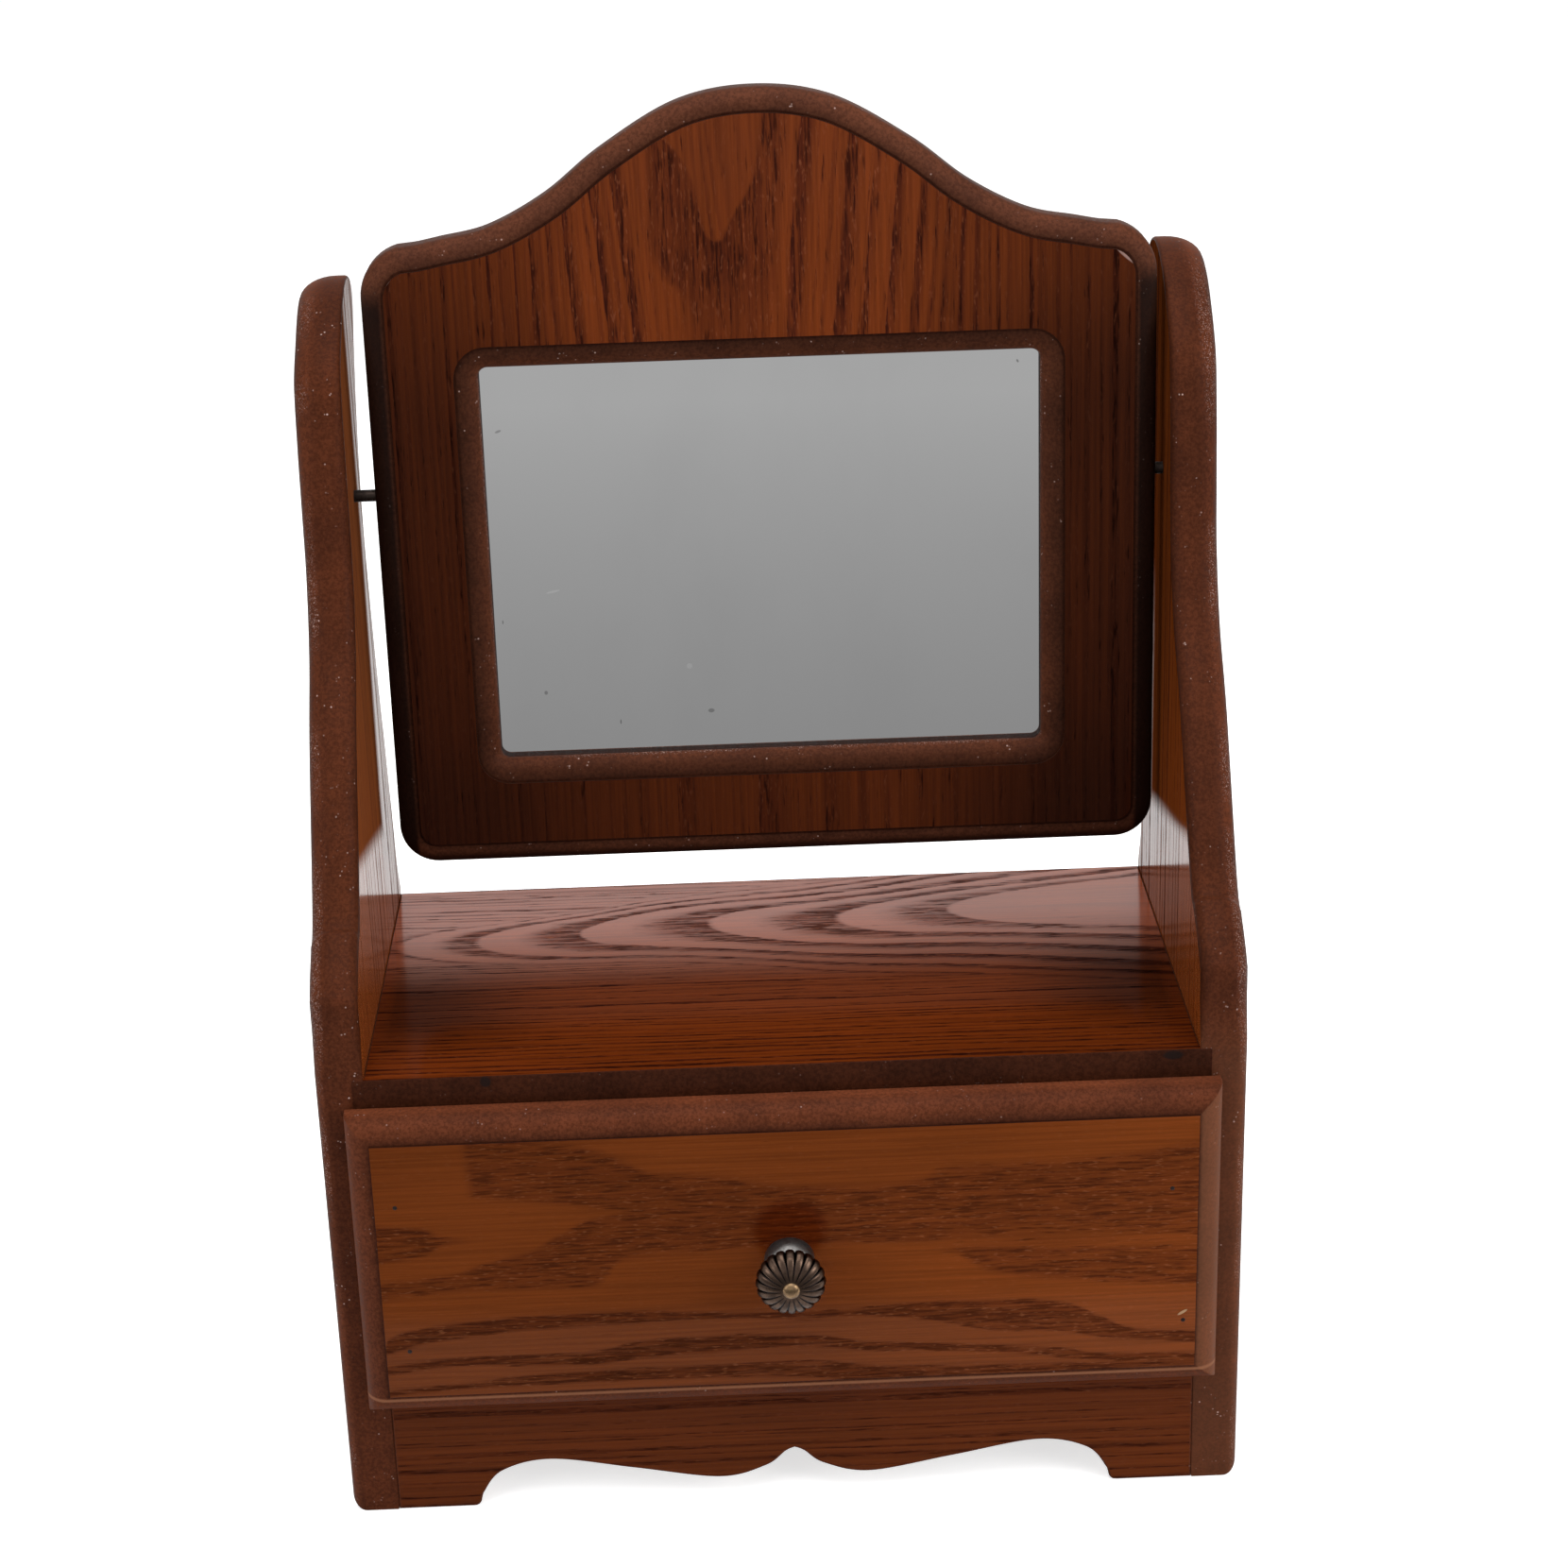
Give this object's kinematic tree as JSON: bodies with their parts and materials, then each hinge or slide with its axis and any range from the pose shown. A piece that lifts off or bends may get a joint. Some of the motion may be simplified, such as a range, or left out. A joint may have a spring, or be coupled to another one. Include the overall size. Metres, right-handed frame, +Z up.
{
  "type": "dressing table mirror with drawer",
  "caption": "Table-top dressing mirror: an arched framed glass that turns between two curved arms, over a shelf and a case with a sliding drawer.",
  "frame": {"origin": "on the table, under the middle of the whole object's box", "axes": "+Z up, -Y towards the user and the drawer's way out, +X to the user's right"},
  "size_m": [0.2414, 0.1468, 0.3658],
  "materials": {
    "veneered_board": "stained and lacquered ash veneer on fibreboard, satin gloss, with smooth routed edges",
    "plain_board": "plain fibreboard, thinly stained, matt",
    "steel": "darkened steel",
    "bronze": "antique bronze, dark in the flutes and worn bright on the ridges",
    "looking_glass": "silvered flat glass"
  },
  "bodies": {
    "case": {"left_side_panel": "veneered_board", "right_side_panel": "veneered_board", "shelf_board": "veneered_board", "bottom_board": "plain_board", "back_panel": "plain_board", "apron": "veneered_board", "case_nails": "steel", "back_panel_nails": "steel"},
    "drawer": {"drawer_front": "veneered_board", "drawer_left_side": "plain_board", "drawer_right_side": "plain_board", "drawer_back": "plain_board", "drawer_bottom": "plain_board", "drawer_front_nails": "steel", "drawer_back_nails": "steel", "drawer_bottom_nails": "steel", "knob": "bronze", "knob_screw": "steel"},
    "mirror": {"mirror_frame": "veneered_board", "mirror_glass": "looking_glass", "mirror_backing": "plain_board", "backing_screws": "steel", "left_pivot_screw": "steel", "right_pivot_screw": "steel"}
  },
  "joints": [
    {"name": "drawer_slide", "type": "slide", "parent": "case", "child": "drawer", "axis": [0, -1, 0], "range_m": [0, 0.085]},
    {"name": "mirror_turn", "type": "hinge", "parent": "case", "child": "mirror", "pos_m": [0, 0.0379, 0.2616], "axis": [1, 0, 0], "continuous": true}
  ]
}
